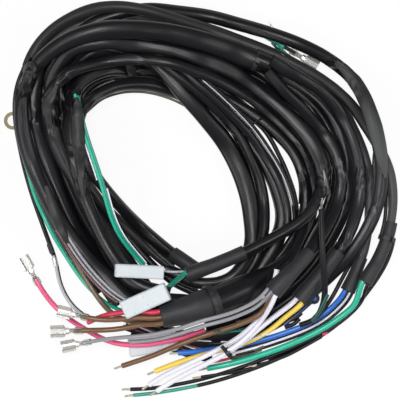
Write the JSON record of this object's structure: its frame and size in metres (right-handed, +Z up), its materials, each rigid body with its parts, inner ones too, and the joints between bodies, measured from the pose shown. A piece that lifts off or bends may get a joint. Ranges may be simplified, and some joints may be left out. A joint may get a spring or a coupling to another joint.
{
  "type": "wiring harness",
  "caption": "Coiled vehicle wiring harness in black sleeving, with shrink-tubed branches and coloured wires ending in bare tips, spade and ring terminals.",
  "frame": {"origin": "centre of the coil's bounding box in plan, on the surface it lies on", "axes": "+Z up, +X towards the side where the branches cross over, +Y away from the wire ends"},
  "size_m": [0.237, 0.2377, 0.0493],
  "materials": {
    "sleeve": "semi-gloss soft PVC tubing",
    "shrink": "matt heat-shrink tubing",
    "brown_wire": "glossy wire insulation",
    "red_wire": "glossy wire insulation",
    "pink_wire": "glossy wire insulation",
    "grey_wire": "glossy wire insulation",
    "pale_wire": "glossy wire insulation",
    "white_wire": "glossy wire insulation",
    "yellow_wire": "glossy wire insulation",
    "blue_wire": "glossy wire insulation",
    "green_wire": "glossy wire insulation",
    "dark_green_wire": "glossy wire insulation",
    "black_wire": "glossy wire insulation",
    "tan_wire": "glossy wire insulation",
    "terminal": "tinned sheet metal",
    "ring": "dull brass",
    "cover": "milky translucent plastic",
    "tie": "matt nylon"
  },
  "bodies": {
    "root": {"outer_sleeve": "sleeve", "rim_sleeve": "sleeve", "bundle_sleeve": "sleeve", "branch_a_sleeve": "sleeve", "branch_b_sleeve": "sleeve", "branch_c_sleeve": "sleeve", "branch_d_sleeve": "sleeve", "middle_sleeve": "sleeve", "folded_sleeve": "sleeve", "inner_sleeve": "sleeve", "hole_sleeve": "sleeve", "slim_sleeve": "sleeve", "side_sleeve": "sleeve", "trunk_sleeve": "sleeve", "branch_a_shrink": "shrink", "branch_b_shrink": "shrink", "branch_c_shrink": "shrink", "branch_d_shrink": "shrink", "rim_shrink": "shrink", "inner_shrink": "shrink", "trunk_shrink": "shrink", "brown_wire_a": "brown_wire", "brown_wire_b": "brown_wire", "brown_wire_c": "brown_wire", "red_wire": "red_wire", "pink_wire": "pink_wire", "grey_wire_a": "grey_wire", "grey_wire_b": "grey_wire", "grey_wire_c": "grey_wire", "rim_wire": "pale_wire", "white_wire_a": "white_wire", "white_wire_b": "white_wire", "thin_white_wire": "white_wire", "loop_wire_white": "white_wire", "yellow_wire": "yellow_wire", "blue_wire": "blue_wire", "green_wire_a": "green_wire", "green_wire_b": "green_wire", "green_wire_c": "green_wire", "short_wire": "green_wire", "black_wire_b": "dark_green_wire", "black_wire_a": "black_wire", "loop_wire_black": "black_wire", "cross_wire": "black_wire", "ring_wire": "black_wire", "tan_wire": "tan_wire", "brown_a_spade": "terminal", "brown_b_spade": "terminal", "grey_a_spade": "terminal", "pink_spade": "terminal", "short_spade": "terminal", "splice": "terminal", "ring_terminal": "ring", "cover_a": "cover", "cover_b": "cover", "cover_c": "cover", "bundle_tie": "tie", "trunk_tie": "tie", "rim_tie": "tie", "white_tie": "tie"}
  },
  "joints": []
}
